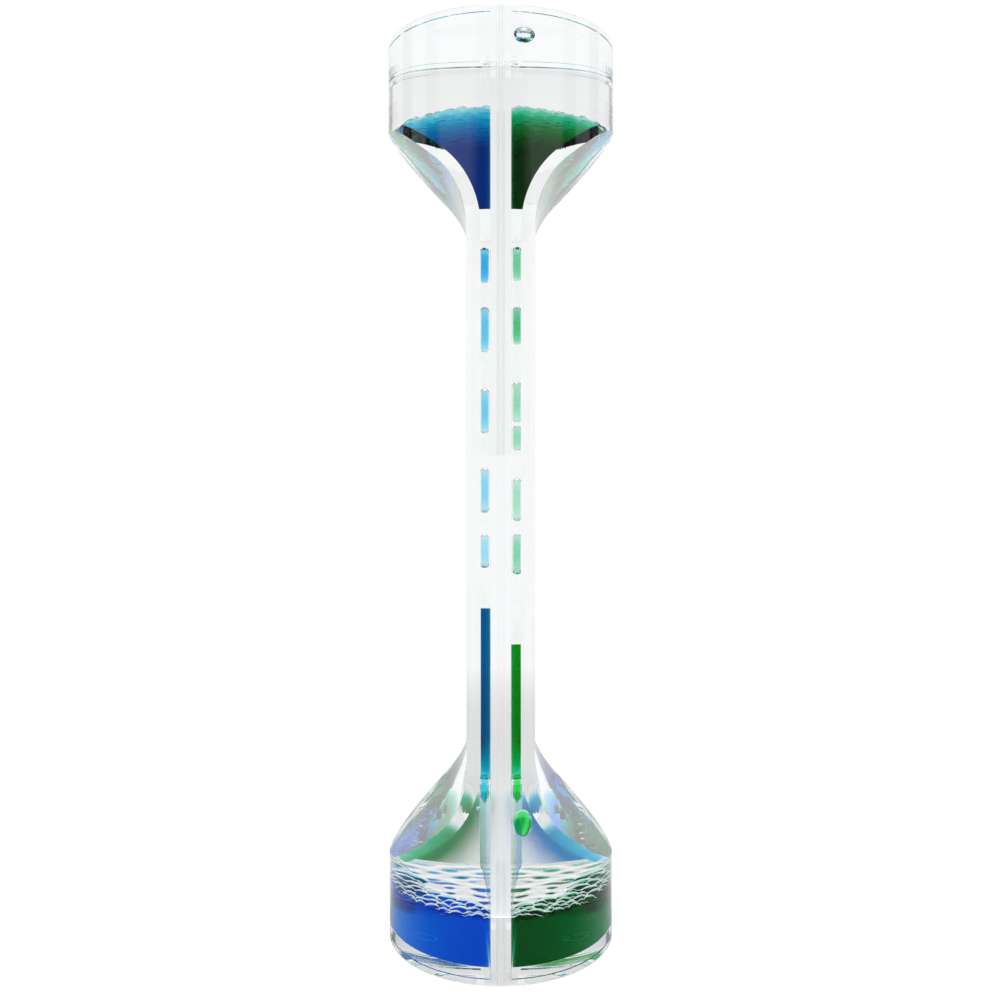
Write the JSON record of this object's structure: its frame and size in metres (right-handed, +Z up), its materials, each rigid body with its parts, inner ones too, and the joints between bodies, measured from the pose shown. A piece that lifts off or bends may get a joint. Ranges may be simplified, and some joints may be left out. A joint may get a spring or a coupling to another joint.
{
  "type": "liquid motion timer",
  "caption": "Clear waisted column in two sealed halves; coloured liquid falls through oil in drops from the upper pool to the lower one. Turned over to run again.",
  "frame": {"origin": "centre of the flat underside of the lower head, on the surface that the timer stands on", "axes": "+Z up along the column; +X to the half with the green liquid, so the divider lies in the YZ plane; -Y towards the viewer"},
  "size_m": [0.05, 0.05, 0.198],
  "materials": {
    "clear_acrylic": "gloss",
    "bond_resin": "gloss",
    "clear_oil": "gloss",
    "blue_liquid": "gloss",
    "blue_drops": "gloss",
    "green_liquid": "gloss",
    "green_drops": "gloss",
    "trapped_air": "gloss"
  },
  "bodies": {
    "vessel": {"blue_lower_pool": "blue_liquid", "blue_neck_column": "blue_liquid", "blue_pendant_drop": "blue_liquid", "blue_pool_foam": "blue_liquid", "blue_settled_bubbles": "blue_liquid", "blue_upper_pool": "blue_liquid", "divider_bond": "bond_resin", "green_lower_pool": "green_liquid", "green_neck_column": "green_liquid", "green_pendant_drop": "green_liquid", "green_pool_foam": "green_liquid", "green_settled_bubbles": "green_liquid", "green_upper_pool": "green_liquid", "left_base_cap": "clear_acrylic", "left_divider_wall": "clear_acrylic", "left_fill_plug": "clear_acrylic", "left_lower_oil": "clear_oil", "left_lower_orifice_plate": "clear_acrylic", "left_neck_oil": "clear_oil", "left_shell": "clear_acrylic", "left_top_cap": "clear_acrylic", "left_upper_oil": "clear_oil", "left_upper_orifice_plate": "clear_acrylic", "right_base_cap": "clear_acrylic", "right_divider_wall": "clear_acrylic", "right_fill_plug": "clear_acrylic", "right_lower_oil": "clear_oil", "right_lower_orifice_plate": "clear_acrylic", "right_neck_oil": "clear_oil", "right_shell": "clear_acrylic", "right_top_cap": "clear_acrylic", "right_upper_oil": "clear_oil", "right_upper_orifice_plate": "clear_acrylic"},
    "blue_falling_drops": {"blue_drop_1": "blue_drops", "blue_drop_2": "blue_drops", "blue_drop_3": "blue_drops", "blue_drop_4": "blue_drops", "blue_drop_5": "blue_drops"},
    "green_falling_drops": {"green_drop_1": "green_drops", "green_drop_2": "green_drops", "green_drop_3": "green_drops", "green_drop_4": "green_drops", "green_drop_5": "green_drops", "green_drop_6": "green_drops"},
    "green_released_drop": {"green_released_drop": "green_drops"},
    "blue_speck": {"blue_speck": "blue_drops"},
    "air_bubble": {"air_bubble": "trapped_air"}
  },
  "joints": [
    {"name": "blue_drops_fall", "type": "slide", "parent": "vessel", "child": "blue_falling_drops", "axis": [0, 0, 1], "range_m": [-0.0075, 0.0055], "deforming": ["left_neck_oil"]},
    {"name": "green_drops_fall", "type": "slide", "parent": "vessel", "child": "green_falling_drops", "axis": [0, 0, 1], "range_m": [-0.0134, 0.0055], "deforming": ["right_neck_oil"]},
    {"name": "green_released_drop_falls", "type": "slide", "parent": "vessel", "child": "green_released_drop", "axis": [0, 0, 1], "range_m": [-0.0144, 0], "deforming": ["right_lower_oil"]},
    {"name": "blue_speck_falls", "type": "slide", "parent": "vessel", "child": "blue_speck", "axis": [0, 0, 1], "range_m": [-0.0195, 0], "deforming": ["left_lower_oil"]},
    {"name": "air_bubble_drifts", "type": "slide", "parent": "vessel", "child": "air_bubble", "axis": [0, 1, 0], "range_m": [0, 0.038], "deforming": ["right_upper_oil"]}
  ]
}
